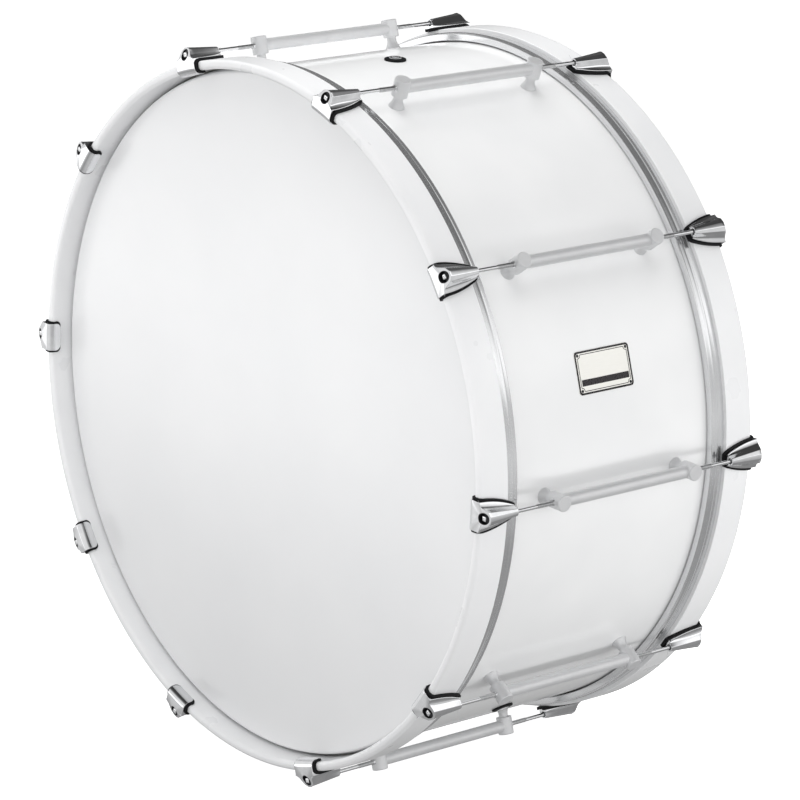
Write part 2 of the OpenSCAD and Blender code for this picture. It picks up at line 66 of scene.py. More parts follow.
BADGE_ANGLE, BADGE_L, BADGE_H, BADGE_TOP_R, PIN_INSET = 72.0, 81.0, 49.0, 405.8, 4.6
VENT_ANGLES = (0, 144)

# Levels of the studio's light by height (the sine of a direction's angle), on the camera's left and right
LEFT = ((-1, 0.70), (-0.80, 0.50), (-0.60, 0.32), (-0.45, 0.45), (-0.30, 0.80), (0.0, 0.9), (0.45, 0.78),
        (0.62, 0.26), (0.75, 0.07), (1, 0.05))
RIGHT = ((-1, 0.55), (-0.88, 0.50), (-0.79, 0.27), (-0.50, 0.27), (-0.30, 0.52), (-0.12, 0.75), (0.02, 0.62),
         (0.12, 0.62), (0.25, 1.36), (0.34, 1.36), (0.50, 0.90), (0.62, 0.34), (0.74, 0.06), (1, 0.05))
WORLD_STRENGTH = 1.5
# Directions of the right side, a dark corner at the back on the left and a narrow window at the front on the
# left, each with the cosines between which it comes in
TO_RIGHT = ((0.80, 0.60, 0), -0.55, 0.30)
TO_CORNER = ((-0.70, 0.63, 0.33), 0.78, 0.92)
TO_WINDOW = ((-0.775, -0.625, -0.10), 0.972, 0.990)
CORNER_LEVEL, WINDOW_LEVEL = 0.06, 0.55
# Softboxes: name, place, the point it faces, length and height in metres, and watts
LAMPS = (
    ("strip_front", (-0.50, -0.60, 0.50), (-0.50, 0, 0.50), (2.2, 0.12), 2.2),
    ("strip_side", (1.10, -0.05, 0.58), (0, 0, 0.54), (2.2, 0.20), 1.5),
    ("low_side", (1.15, 0.35, 0.09), (0.20, 0.05, 0.28), (1.3, 0.14), 3.3),
    ("overhead", (0.3, -0.5, 2.6), (0.1, 0, 0.5), (2.0, 2.0), 27),
    ("rear_fill", (-0.9, 1.9, 0.9), (-0.1, 0.2, 0.42), (1.6, 1.2), 12),
    ("overhead_left", (-1.1, 0.3, 2.0), (-0.1, 0.1, 0.7), (1.5, 1.5), 26))
FLOOR_REACH = 12


# ---------------------------------------------------------------- meshes

def arc(cx, cy, r, a0, a1, steps=8):
    """Points of an arc round (cx, cy) from angle a0 to a1, in degrees."""
    t = np.radians(np.linspace(a0, a1, steps + 1))
    return np.column_stack([cx + r * np.cos(t), cy + r * np.sin(t)])


def path(*runs):
    """Joins runs of points into one list."""
    return np.vstack([np.atleast_2d(np.asarray(r, float)) for r in runs])


def closed(points):
    """The points with the first one again at their end."""
    return np.vstack([points, points[:1]])


def grid(rows):
    """Quads between the rows of a (rows, columns, 3) array of points."""
    rows = np.asarray(rows, float)
    n, m = rows.shape[:2]
    i = np.arange(n * m).reshape(n, m)
    faces = np.stack([i[:-1, :-1], i[:-1, 1:], i[1:, 1:], i[1:, :-1]], -1).reshape(-1, 4)
    return rows.reshape(-1, 3), faces.tolist()


def revolve(profile, segments, locate):
    """Closed profile of (radius, height) turned round an axis; locate(r, h, angle) gives the points."""
    p = closed(profile)
    t = np.linspace(0, 2 * np.pi, segments + 1)
    r, a = np.meshgrid(p[:, 0], t, indexing="ij")
    h = np.broadcast_to(p[:, 1:2], r.shape)
    return weld([grid(np.stack(locate(r, h, a), -1))])


def ring(profile, segments=360):
    """Turned round the drum's axis: profile of (radius, y)."""
    return revolve(profile, segments, lambda r, h, a: (r * np.sin(a), h, r * np.cos(a)))


def on_rod(profile, segments):
    """Turned round a key rod's axis: profile of (radius, y)."""
    return revolve(profile, segments, lambda r, h, a: (r * np.sin(a), h, ROD_R + r * np.cos(a)))


def on_radius(profile, y, segments):
    """Turned round the line that runs out of the drum at y: profile of (radius, height from the axis)."""
    return revolve(profile, segments, lambda r, h, a: (r * np.cos(a), y + r * np.sin(a), h))


def weld(patches):
    """One closed mesh from patches that meet, with its faces turned outwards."""
    same = 1e-4
    bm = bmesh.new()
    for verts, faces in patches:
        made = [bm.verts.new(v) for v in verts]
        for f in faces:
            corners = [made[k] for k in f]
            if len(set(corners)) == len(corners):
                bm.faces.new(corners)
    bmesh.ops.remove_doubles(bm, verts=bm.verts, dist=same)
    bmesh.ops.dissolve_degenerate(bm, edges=bm.edges, dist=same)
    bmesh.ops.recalc_face_normals(bm, faces=bm.faces)
    bm.verts.index_update()
    verts = np.array([v.co[:] for v in bm.verts])
    faces = [[v.index for v in f.verts] for f in bm.faces]
    bm.free()
    return verts, faces


def bevelled(part, width, segments=2, angle=35):
    """The mesh with a bevel on each edge that turns by more than the angle."""
    mesh = bpy.data.meshes.new("rounding")
    mesh.from_pydata(part[0].tolist(), [], part[1])
    obj = bpy.data.objects.new("rounding", mesh)
    bpy.context.scene.collection.objects.link(obj)
    mod = obj.modifiers.new("bevel", "BEVEL")
    mod.width, mod.segments = width, segments
    mod.limit_method, mod.angle_limit = "ANGLE", math.radians(angle)
    mod.use_clamp_overlap = False
    mod.miter_outer = "MITER_ARC"
    done = obj.evaluated_get(bpy.context.evaluated_depsgraph_get()).to_mesh()
    verts = np.array([v.co[:] for v in done.vertices])
    faces = [list(p.vertices) for p in done.polygons]
    bpy.data.objects.remove(obj)
    bpy.data.meshes.remove(mesh)
    return verts, faces


def turned(part, degrees):
    """The mesh turned round the drum's axis, from +Z towards +X."""
    verts, faces = part
    c, s = math.cos(math.radians(degrees)), math.sin(math.radians(degrees))
    x, y, z = verts.T
    return np.column_stack([x * c + z * s, y, z * c - x * s]), faces


def mirrored(part):
    """The mesh moved to the other side of the drum's middle."""
    verts, faces = part
    return verts * [1, -1, 1], [f[::-1] for f in faces]


def at_lugs(part):
    """A copy of the mesh at each lug."""
    return [turned(part, a) for a in LUG_ANGLES]


def both_ends(parts):
    """The rear end's meshes and their mirror images at the front."""
    return parts + [mirrored(p) for p in parts]


def place(name, parts, materials, body, nodes, indices=None):
    """An object in metres from meshes in millimetres. indices gives each mesh its material."""
    faces, which, start = [], [], 0
    for k, (v, f) in enumerate(parts):
        faces += [[n + start for n in face] for face in f]
        which += [indices[k] if indices else 0] * len(f)
        start += len(v)
    points = (np.vstack([v for v, _ in parts]) + [0, 0, AXIS_Z]) / 1000
    mesh = bpy.data.meshes.new(name)
    mesh.from_pydata(points.tolist(), [], faces)
    for material in materials:
        mesh.materials.append(material)
    mesh.polygons.foreach_set("material_index", which)
    mesh.shade_smooth()
    mesh.set_sharp_from_angle(angle=math.radians(32))
    obj = bpy.data.objects.new(name, mesh)
    bpy.context.scene.collection.objects.link(obj)
    normals = obj.modifiers.new("even_shading", "WEIGHTED_NORMAL")
    normals.keep_sharp = True
    normals.weight = 60
    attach(obj, body)
    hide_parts(*nodes)


# ---------------------------------------------------------------- materials

class Nodes:
    """A material's node tree, with short calls for the nodes it uses."""

    def __init__(self, name):
        self.material = bpy.data.materials.new(name)
        self.material.use_nodes = True
        self.tree = self.material.node_tree
        self.shader = self.tree.nodes["Principled BSDF"]

    def add(self, kind, inputs=(), **settings):
        node = self.tree.nodes.new(kind)
        for key, value in settings.items():
            setattr(node, key, value)
        for socket, value in dict(inputs).items():
            self.put(node.inputs[socket], value)
        return node

    def put(self, socket, value):
        if isinstance(value, bpy.types.NodeSocket):
            self.tree.links.new(value, socket)
        else:
            socket.default_value = value

    def set(self, **values):
        """Sets the shader's sockets; an underscore stands for a space."""
        for key, value in values.items():
            self.put(self.shader.inputs[key.replace("_", " ")], value)

    def math(self, operation, a, b=0.0):
        return self.add("ShaderNodeMath", {0: a, 1: b}, operation=operation).outputs[0]

    def where(self):
        """The piece's own coordinates, in metres."""
        return self.add("ShaderNodeTexCoord").outputs["Object"]

    def polar(self, around, across, along):
        """Coordinates that run round the drum, outwards and along its axis, each times its own scale."""
        x, y, z = self.add("ShaderNodeSeparateXYZ", {0: self.where()}).outputs
        z = self.math("SUBTRACT", z, AXIS_Z / 1000)
        squares = self.math("ADD", self.math("MULTIPLY", x, x), self.math("MULTIPLY", z, z))
        radius = self.math("SQRT", squares)
        angle = self.math("ARCTAN2", x, z)
        return self.add("ShaderNodeCombineXYZ", {
            0: self.math("MULTIPLY", angle, around), 1: self.math("MULTIPLY", radius, across),
            2: self.math("MULTIPLY", y, along)}).outputs[0]

    def noise(self, scale, detail, roughness=0.5, vector=None):
        node = self.add("ShaderNodeTexNoise", {"Scale": scale, "Detail": detail, "Roughness": roughness})
        self.put(node.inputs["Vector"], vector if vector is not None else self.where())
        return node.outputs["Fac"]

    def spread(self, value, low, high, start=0.3, end=0.7):
        """The value from start to end, mapped to low to high."""
        return self.add("ShaderNodeMapRange", {
            "Value": value, "From Min": start, "From Max": end, "To Min": low, "To Max": high}).outputs[0]

    def blend(self, value, first, second, start=0.3, end=0.7):
        """A colour between two, by the value."""
        node = self.add("ShaderNodeValToRGB", {0: value})
        low, high = node.color_ramp.elements
        low.position, high.position = start, end
        low.color, high.color = (*first, 1), (*second, 1)
        return node.outputs[0]

    def drawn(self, across, along):
        """Noise stretched along the drum's axis, for metal drawn or brushed that way."""
        scale = (across, along, across)
        stretch = self.add("ShaderNodeMapping", {"Vector": self.where(), "Scale": scale}).outputs[0]
        return self.noise(1, 3, 0.6, stretch)

    def bump(self, height, strength, distance, normal=None):
        node = self.add("ShaderNodeBump", {"Height": height, "Strength": strength, "Distance": distance})
        if normal is not None:
            self.put(node.inputs["Normal"], normal)
        return node.outputs[0]


def make_materials():
    """The procedural materials, by name."""
    m = {}

    # Glossy sheet wrapped round the shell: faint waves from the plies, a fine skin and slight haze
    n = Nodes("covering")
    waves = n.noise(9, 2)
    skin = n.noise(420, 2)
    n.set(Base_Color=n.blend(waves, (0.835, 0.84, 0.845), (0.875, 0.878, 0.88)),
          Roughness=n.spread(n.noise(35, 4), 0.10, 0.17), Coat_Weight=0.08, Coat_Roughness=0.05,
          Normal=n.bump(skin, 0.02, 0.0001, n.bump(waves, 0.06, 0.0006)))
    m["covering"] = n.material

    # Thick white lacquer on the wooden hoops, with a trace of their grain under it
    n = Nodes("hoop_lacquer")
    grain = n.noise(1, 4, 0.6, n.polar(26, 500, 500))
    peel = n.noise(520, 2)
    n.set(Base_Color=n.blend(n.noise(14, 4), (0.83, 0.835, 0.845), (0.865, 0.868, 0.875)),
          Roughness=n.spread(n.noise(25, 3), 0.27, 0.30), Coat_Weight=0.4, Coat_Roughness=0.14,
          Normal=n.bump(peel, 0.02, 0.0001, n.bump(grain, 0.03, 0.0002)))
    m["hoop_lacquer"] = n.material

    # Sprayed coating on the drum head: a fine, even tooth and a faint cloudiness
    n = Nodes("head_film")
    tooth = n.noise(1500, 2)
    cloud = n.noise(5, 3)
    n.set(Base_Color=n.blend(cloud, (0.80, 0.805, 0.815), (0.835, 0.838, 0.845)),
          Roughness=n.spread(n.noise(30, 3), 0.20, 0.22), Specular_IOR_Level=0.8,
          Normal=n.bump(tooth, 0.02, 0.00005, n.bump(cloud, 0.03, 0.0006)))
    m["head_film"] = n.material

    # Rolled aluminium channel with lines that run round the drum
    n = Nodes("hoop_metal")
    lines = n.noise(1, 3, 0.65, n.polar(9, 5200, 5200))
    patches = n.noise(1, 3, 0.5, n.polar(40, 60, 60))
    n.set(Base_Color=n.blend(lines, (0.68, 0.685, 0.695), (0.80, 0.805, 0.815)), Metallic=0.82,
          Roughness=n.spread(patches, 0.12, 0.18), Anisotropic=0.3,
          Normal=n.bump(lines, 0.08, 0.00005))
    m["hoop_metal"] = n.material

    # Satin plated posts and tubes
    n = Nodes("lug_metal")
    blast = n.noise(1800, 2)
    n.set(Base_Color=n.blend(n.noise(40, 4), (0.685, 0.69, 0.70), (0.735, 0.738, 0.745)), Metallic=0.55,
          Roughness=n.spread(n.noise(150, 3), 0.46, 0.54),
          Normal=n.bump(blast, 0.12, 0.00004))
    m["lug_metal"] = n.material

    # Polished chrome on cast claws, with faint handling haze
    n = Nodes("claw_chrome")
    haze = n.noise(90, 5, 0.6)
    n.set(Base_Color=n.blend(haze, (0.78, 0.785, 0.80), (0.86, 0.865, 0.875)), Metallic=1.0,
          Roughness=n.spread(haze, 0.05, 0.12),
          Normal=n.bump(n.noise(300, 3), 0.03, 0.0001))
    m["claw_chrome"] = n.material

    # Plated steel rods, drawn along their length
    n = Nodes("rod_steel")
    drawn = n.drawn(2600, 60)
    n.set(Base_Color=n.blend(drawn, (0.74, 0.745, 0.755), (0.86, 0.865, 0.875)), Metallic=1.0,
          Roughness=n.spread(n.noise(200, 3), 0.12, 0.24), Normal=n.bump(drawn, 0.10, 0.00004))
    m["rod_steel"] = n.material

    # Rolled thread: duller and darker than the shank, its tone varying at random
    n = Nodes("rod_thread")
    n.set(Base_Color=n.blend(n.noise(500, 4), (0.50, 0.505, 0.51), (0.70, 0.705, 0.71)), Metallic=1.0,
          Roughness=n.spread(n.noise(300, 3), 0.28, 0.42), Normal=n.bump(n.noise(1500, 2), 0.1, 0.00004))
    m["rod_thread"] = n.material

    # Moulded black rubber with a dusty bloom
    n = Nodes("black_rubber")
    bloom = n.noise(120, 5, 0.6)
    n.set(Base_Color=n.blend(bloom, (0.004, 0.004, 0.005), (0.011, 0.011, 0.012)),
          Specular_IOR_Level=0.15, Roughness=n.spread(bloom, 0.50, 0.66),
          Normal=n.bump(n.noise(1600, 3), 0.2, 0.00005))
    m["black_rubber"] = n.material

    # Nylon washers, with turned rings; the same near-black on the collar up each claw's recess wall is
    # painted shade
    n = Nodes("black_nylon")
    n.set(Base_Color=n.blend(n.noise(400, 3), (0.004, 0.004, 0.005), (0.012, 0.012, 0.014)),
          Specular_IOR_Level=0.25, Roughness=n.spread(n.noise(700, 3), 0.32, 0.48),
          Normal=n.bump(n.noise(1800, 2), 0.1, 0.00004))
    m["black_nylon"] = n.material

    # Anodised badge plate, brushed along its length
    n = Nodes("badge_metal")
    brushed = n.drawn(2400, 60)
    n.set(Base_Color=n.blend(brushed, (0.86, 0.85, 0.80), (0.90, 0.89, 0.845)), Metallic=0.15,
          Roughness=n.spread(n.noise(200, 3), 0.30, 0.36), Normal=n.bump(brushed, 0.05, 0.00004))
    m["badge_metal"] = n.material

    # Dark enamel of the badge's lines and band
    n = Nodes("badge_enamel")
    n.set(Base_Color=n.blend(n.noise(500, 4), (0.006, 0.005, 0.006), (0.022, 0.017, 0.020)),
          Roughness=n.spread(n.noise(300, 3), 0.22, 0.36), Normal=n.bump(n.noise(900, 2), 0.08, 0.00004))
    m["badge_enamel"] = n.material

    # Dark plated pins; the same near-black on the key rods' flanges is painted shade for the deep recess they
    # sit in
    n = Nodes("pin_steel")
    n.set(Base_Color=n.blend(n.noise(600, 4), (0.015, 0.015, 0.017), (0.05, 0.05, 0.055)), Metallic=0.6,
          Roughness=n.spread(n.noise(800, 3), 0.24, 0.40), Normal=n.bump(n.noise(1500, 2), 0.1, 0.00003))
    m["pin_steel"] = n.material

    # Pale resin cast round the film's edge
    n = Nodes("resin")
    n.set(Base_Color=n.blend(n.noise(70, 4), (0.60, 0.58, 0.52), (0.72, 0.70, 0.63)),
          Roughness=n.spread(n.noise(150, 3), 0.30, 0.50), Normal=n.bump(n.noise(500, 3), 0.15, 0.0001))
    m["resin"] = n.material

    # Plywood: plies 1.35 mm thick that show at the edges, and long grain round the inside
    n = Nodes("shell_wood")
    fibres = n.noise(1, 5, 0.65, n.polar(7, 900, 900))
    radius = n.add("ShaderNodeSeparateXYZ", {0: n.polar(1, 1, 1)}).outputs[1]
    plies = n.math("FRACT", n.math("MULTIPLY", radius, 1000 / 1.35))
    tone = n.math("ADD", n.math("MULTIPLY", fibres, 0.7), n.math("MULTIPLY", plies, 0.25))
    n.set(Base_Color=n.blend(tone, (0.36, 0.20, 0.095), (0.66, 0.46, 0.27), 0.25, 0.8),
          Roughness=n.spread(fibres, 0.42, 0.62), Normal=n.bump(fibres, 0.2, 0.0002))
    m["shell_wood"] = n.material

    # Plain pale floor
    n = Nodes("floor_paper")
    n.set(Base_Color=n.blend(n.noise(2, 2), (0.93, 0.93, 0.93), (0.95, 0.95, 0.95)), Roughness=0.9,
          Specular_IOR_Level=0.1, Emission_Color=(1, 1, 1, 1), Emission_Strength=0.75)
    m["floor_paper"] = n.material
    return m


# ---------------------------------------------------------------- pieces of the drum

def film_profile():
    """The taut film, its bend past the bearing edge and its foot in the flesh hoop's channel."""
    edge = np.array([401.5, 174.8])
    bend_r, half_film = 3.45, 0.15
    mouth = np.array([FLESH_IN + 1.8, FLESH_TOP_Y])
    drop = mouth - edge
    end = math.degrees(math.atan2(drop[1], drop[0]) + math.acos(bend_r / np.hypot(*drop)))
    top_y = edge[1] + bend_r
    line = path([[r, top_y] for r in (0, 60, 120, 180, 240, 300, 350, 380, 394)],
                arc(*edge, bend_r, 90, end, 12), mouth,
                [mouth[0] + 0.5, FLESH_BASE_Y + 4.6], [mouth[0] + 2.6, FLESH_BASE_Y + 3.0])
    away = np.gradient(line, axis=0)
    away = np.column_stack([-away[:, 1], away[:, 0]]) / np.hypot(*away.T)[:, None] * half_film
    away[0] = [0, half_film]
    return path(line + away, (line - away)[::-1])


def flesh_profile():
    """The flesh hoop's channel, with a bead round its outer wall and a shorter inner wall."""
    t, corner = 1.2, 1.7
    inner_top = FLESH_TOP_Y - 1.9
    return path(
        [FLESH_IN, inner_top], [FLESH_IN, FLESH_BASE_Y + t],
        arc(FLESH_IN + t, FLESH_BASE_Y + t, t, 180, 270, 4),
        arc(FLESH_OUT - corner, FLESH_BASE_Y + corner, corner, 270, 360, 8),
        arc(FLESH_OUT - 4.0, 153.6, 4.55, -29, 29, 8), [FLESH_OUT, 158.5],
        [FLESH_OUT, FLESH_TOP_Y - 0.3], arc(FLESH_OUT - 0.3, FLESH_TOP_Y - 0.3, 0.3, 0, 90, 3),
        [FLESH_OUT - t, FLESH_TOP_Y],
        arc(FLESH_OUT - corner, FLESH_BASE_Y + corner, corner - t, 360, 270, 6),
        [FLESH_IN + t, FLESH_BASE_Y + t], [FLESH_IN + t, inner_top],
        arc(FLESH_IN + t / 2, inner_top, t / 2, 0, 180, 5)[1:-1])


def hoop_profile():
    """The counter hoop: a band with small corners at the flesh hoop and round ones at its face."""
    low, high = 1.0, 4.4
    return path(
        arc(HOOP_IN + low, FLESH_TOP_Y + low, low, 180, 270),
        arc(HOOP_OUT - low, FLESH_TOP_Y + low, low, 270, 360),
        arc(HOOP_OUT - high, HOOP_FACE_Y - high, high, 0, 90),
        arc(HOOP_IN + high, HOOP_FACE_Y - high, high, 90, 180))


def claw_half_width(y):
    """Half the claw's width at y, which grows from its tail and levels off at its face."""
    s = np.clip((y - CLAW_TAIL_Y) / CLAW_TAPER, 0, 1)
    return CLAW_TAIL_HALF + (CLAW_HALF - CLAW_TAIL_HALF) * (1.8 * s - 0.8 * s * s)


def claw_top(y):
    """The claw's outline over its barrel and down both wings, at y, from -X to +X."""
    t = (y - CLAW_TAIL_Y) / (CLAW_FACE_Y - CLAW_TAIL_Y)
    # Height of the barrel, half the width of its flat crown and of its waist, and where the wing starts
    top, crown, waist, side = ROD_R + 4.9 + 3.7 * t, 2.1 + 1.55 * t, 3.9 + 4.4 * t, 5.6 + 5.6 * t
    edge = claw_half_width(y)
    rim = 432.5 + 2.6 * t - math.sqrt((7.6 + 3.6 * t) ** 2 - (edge - 11.8 - 7.8 * t) ** 2)
    low = top - 0.4 - (waist - crown) * 0.6

    def wing(x):
        return rim + 0.4 * (edge - x) + 0.25 * (edge - x) ** 2 / (edge - side)

    foot, bend = wing(side), min(1, (edge - side) / 3)
    half = path([(0, top), (crown * 0.55, top - 0.04), (crown * 0.85, top - 0.14)],
                np.linspace((crown, top - 0.4), (waist - 0.15, low + 0.09), 5), [(waist + 0.08, low - 0.1)],
                np.linspace((waist + 0.25, low - 0.4), (side, foot + 1.6 * bend), 4),
                [(side + 0.3 * bend, foot + 0.75 * bend), (side + 0.7 * bend, foot + 0.15 * bend)],
                [(x, wing(x)) for x in np.linspace(side + 1.4 * bend, edge, 7)])
    return path(half[::-1], half[1:] * [-1, 1])[::-1]


def on_ring(r, half):
    """Points across a claw at a radius from the drum's axis, from -half to half."""
    x = np.linspace(-half, half, 13)
    return np.column_stack([x, np.sqrt(r * r - x * x)])


def at_y(points, y):
    """Points (x, z) set at y."""
    return np.column_stack([points[:, 0], np.full(len(points), y), points[:, 1]])


def lip_half_width(y, end_y, half):
    """Half the width at y of a lip that ends at end_y with rounded corners."""
    reach = np.clip(end_y + LIP_CORNER - y, 0, LIP_CORNER)
    return half - LIP_CORNER + np.sqrt(LIP_CORNER**2 - reach**2)


def lip_rows(end_y):
    """Distances along the drum of a lip's rows, close together at its rounded end."""
    return end_y + LIP_CORNER - LIP_CORNER * np.sin(np.radians(np.linspace(10, 90, 7)))


def claw_mesh():
    """Cast claw: barrel with a recess, fluted wings, front plate and the lip inside the hoop."""
    ys = CLAW_TAIL_Y + (CLAW_FACE_Y - CLAW_TAIL_Y) * np.linspace(0, 1, 25)
    top = np.array([at_y(claw_top(y), y) for y in ys])
    # The outer side from the front plate's shoulder, round the bend and along the lip
    bend = arc(LIP_BASE_R + 8.5, CLAW_FACE_Y - 8.5, 8.5, 90, 180, 8)
    lip = [(y, lip_half_width(y, LIP_END_Y, CLAW_HALF)) for y in (200.3, 199.75, 199.2, *lip_rows(LIP_END_Y))]
    outer = [at_y(on_ring(r, CLAW_HALF), y) for r, y in bend]
    outer += [at_y(on_ring(LIP_BASE_R, half), y) for y, half in lip]
    # The inner side, from the tail to the lip's end, with as many rows as the top and outer side together
    inner = [at_y(on_ring(CAVITY_R, claw_half_width(y)), y) for y in ys[:20]]
    corner = arc(CAVITY_R - 7.3, PLATE_BACK_Y - 7.3, 7.3, 5, 90, 7)
    inner += [at_y(on_ring(r, claw_half_width(y)), y) for r, y in corner]
    bend = arc(LIP_TOP_R + 6.5, PLATE_BACK_Y - 6.5, 6.5, 90, 180, 8)
    inner += [at_y(on_ring(r, CLAW_HALF), y) for r, y in bend]
    inner += [at_y(on_ring(LIP_TOP_R, half), y) for y, half in lip]
    patches = [grid(top), grid(inner), grid(outer), grid(np.linspace(outer[-1], inner[-1], 5))]
    shoulders = []
    for side in (0, -1):
        shoulder = np.linspace(top[-1][side], outer[0][side], 5)
        shoulders.append(shoulder[1:-1])
        edge = path([row[side] for row in top], shoulder[1:], [row[side] for row in outer[1:]])
        patches.append(grid([np.linspace(a, b[side], 5) for a, b in zip(edge, inner)]))
    # The front face round the recess, the recess, the bore and the tail's face
    left, right = shoulders
    front = path(top[-1], right, outer[0][::-1], left[::-1], top[-1][:1])
    right, left = (np.linspace(top[0][side], inner[0][side], 5)[1:-1] for side in (-1, 0))
    tail = path(top[0], right, inner[0][::-1], left[::-1], top[0][:1])
    patches.append(grid([
        front, round_hole(front, RECESS_R, CLAW_FACE_Y), round_hole(front, RECESS_R, RECESS_Y),
        round_hole(front, BORE_R, RECESS_Y), round_hole(tail, BORE_R, CLAW_TAIL_Y), tail]))
    return leaning(bevelled(weld(patches), 0.45))


def leaning(part):
    """The mesh with its face leant back from the hoop's rim to the top of the barrel."""
    verts, faces = part
    back = np.clip(verts[:, 2] - LEAN_R, 0, None) * LEAN * np.clip((verts[:, 1] - 202) / 7.5, 0, 1)
    return verts - np.outer(back, [0, 1, 0]), faces


def round_hole(loop, r, y):
    """A circle on the key rod's axis, with its points in the same directions as the loop's."""
    a = np.arctan2(loop[:, 2] - ROD_R, loop[:, 0])
    return np.column_stack([r * np.cos(a), np.full(len(a), y), ROD_R + r * np.sin(a)])


def liner_mesh():
    """Rubber strip bent over the hoop, with a rim along both sides of its claw and a rounded tail; the rim is
    partly the liner's edge and partly black rubber as painted shade under the claw's sides.
    """
    proud, rim, corner = 2.6, 1.0, LINER_TAIL_CORNER
    over_hoop, under_claw = 420.4, 422.9
    round_y = LINER_TAIL_Y + corner
    # Each row's radius and y outside and inside, and half its width, from the tail to the lip's end
    rows = []
    for y in (*(round_y - corner * np.sin(np.radians(np.linspace(90, 10, 6)))), *np.linspace(161, 199.2, 16)):
        half = claw_half_width(y) + proud
        if y < round_y:
            half = 5.4 + math.sqrt(max(corner**2 - (round_y - y) ** 2, 0))
        rows.append((under_claw, y, over_hoop, y, half))
    for outer, inner in zip(path(arc(415.8, 199.7, 7.1, 4, 90, 9), arc(413.5, 200.5, 6.3, 90, 180, 9)),
                            path(arc(415.8, 199.9, 4.6, 4, 90, 9), arc(413.5, 199.9, 4.6, 90, 180, 9))):
        rows.append((*outer, *inner, min(claw_half_width(outer[1]) + proud, LINER_HALF)))
    for y in lip_rows(LINER_END_Y):
        rows.append((407.2, y, 408.9, y, lip_half_width(y, LINER_END_Y, LINER_HALF)))
    outer, inner = [], []
    for r, y, r_in, y_in, half in rows:
        # The rim is partly real rubber edge, partly painted shade for the shadow under the claw's sides
        way = np.array([r - r_in, y - y_in]) / math.hypot(r - r_in, y - y_in) * rim
        edge = half - proud + 0.3
        middle = np.linspace(1 - edge, edge - 1, 7)
        x = np.array([-half, -edge - 0.08, -edge, *middle, edge, edge + 0.08, half])
        high = np.array([1, 1, 0, *[0] * len(middle), 0, 1, 1])
        radius = r + way[0] * high
        outer.append(np.column_stack([x, y + way[1] * high, np.sqrt(radius**2 - x * x)]))
        inner.append(np.column_stack([x, np.full(len(x), y_in), np.sqrt(r_in**2 - x * x)]))
    outer, inner = np.array(outer), np.array(inner)
    sides = [grid([np.linspace(a[side], b[side], 2) for a, b in zip(outer, inner)]) for side in (0, -1)]
    ends = [grid([outer[k], inner[k]]) for k in (0, -1)]
    return bevelled(weld([grid(outer), grid(inner), *sides, *ends]), 0.3)


def post_mesh():
    """Post with a foot cut to the shell's curve, a flared neck and a round boss."""
    foot = [(9.25, h) for h in (404.9, 405.3, 405.8)] + [(9.05, 406.15)]
    flare = [(5.5 + 3.55 * (1 - t) ** 2, 406.2 + 11.05 * t) for t in np.linspace(0.04, 1, 14)]
    boss = path(arc(9.0, 419.75, 0.5, 270, 360, 4), arc(8.1, 439.35, 1.4, 0, 90, 7))
    profile = path([0, 404.9], foot, flare, [5.5, 418.6], [5.8, 419.15], boss, [0, 440.75])
    verts, faces = on_radius(profile, POST_Y, 48)
    low = verts[:, 2] < SHELL_R
    verts[low, 2] = np.sqrt((SHELL_R + 0.02) ** 2 - verts[low, 0] ** 2)
    return verts, faces


def tube_mesh():
    """Lug tube between two posts, with rounded ends."""
    end, r, wall, edge = 95.6, 7.4, 1.6, 0.3
    return on_rod(path(
        [r - wall, -end], arc(r - edge, -end + edge, edge, 270, 360, 3), [[r, y] for y in (-60, 0, 60)],
        arc(r - edge, end - edge, edge, 0, 90, 3), [r - wall, end]), 48)


def insert_mesh():
    """Threaded insert: a body inside the boss and a stepped collar at its mouth."""
    bore = 3.0
    return on_rod(path(
        [bore, 92.6], [4.5, 92.6], [4.5, 107.5], [3.8, 107.6], [3.8, 108.9],
        arc(3.4, 109.0, 0.4, 0, 90, 3), [3.2, 109.4], [bore, 109.2]), 40)


def rod_mesh():
    """Key rod's parts: rolled thread, shank, flange and a square drive with a chamfered, dimpled end."""
    pitch, start, end = 1.058, 88.6, 131.6
    root, depth, shank_r = 2.28, 0.47, 2.4
    t = np.linspace(0, 2 * np.pi, 19)
    rows = []
    for y in np.arange(start, end + 0.01, pitch / 5):
        crest = 0.5 - 0.5 * np.cos(2 * np.pi * y / pitch - t)
        fade = np.clip((end - y) / 1.6, 0, 1)
        tip = np.clip((y - start) / 1.0, 0, 1)
        r = (root + 0.12 * (1 - fade) + depth * fade * crest) * (0.72 + 0.28 * tip)
        rows.append(np.column_stack([r * np.sin(t), np.full(len(t), y), ROD_R + r * np.cos(t)]))
    cap = [np.tile([0, start, ROD_R], (len(t), 1)), rows[0]]
    sides = [[shank_r, y] for y in (131.0, 140, 160, 180, 202.2)]
    shank = on_rod(path([0, 131.0], sides, [0, 202.2]), 24)
    # The flange gets the near-black pin material in build(): painted shade for the claw's recess
    flange = on_rod(path([0, 202.6], arc(4.9, 202.9, 0.3, 270, 360, 3),
                         arc(4.75, 203.65, 0.45, 0, 90, 4), [0, 204.1]), 40)
    half, flat = 3.0, 2.25
    square = closed(np.array([[half, -flat], [half, flat], [flat, half], [-flat, half],
                              [-half, flat], [-half, -flat], [-flat, -half], [flat, -half]]))
    levels = [(0, 203.6), (1, 203.6), (1, 206.2), (0.93, 206.7),
              (0.80, 207.0), (0.34, 207.0), (0.26, 206.75), (0, 206.6)]
    drive = weld([grid([at_y(square * k, y) + [0, 0, ROD_R] for k, y in levels])])
    return [weld([grid(rows), grid(cap)]), shank, flange, bevelled(drive, 0.12, 1, 50)]


def washer_mesh():
    """Steel washer on the nylon one, with rounded outer edges."""
    bore, r, edge, low = 3.05, 5.7, 0.2, 201.2
    high = low + 1.2
    return on_rod(path(
        [bore, low], arc(r - edge, low + edge, edge, 270, 360, 3),
        arc(r - edge, high - edge, edge, 0, 90, 3), [bore + 0.1, high], [bore, high - 0.1]), 40)


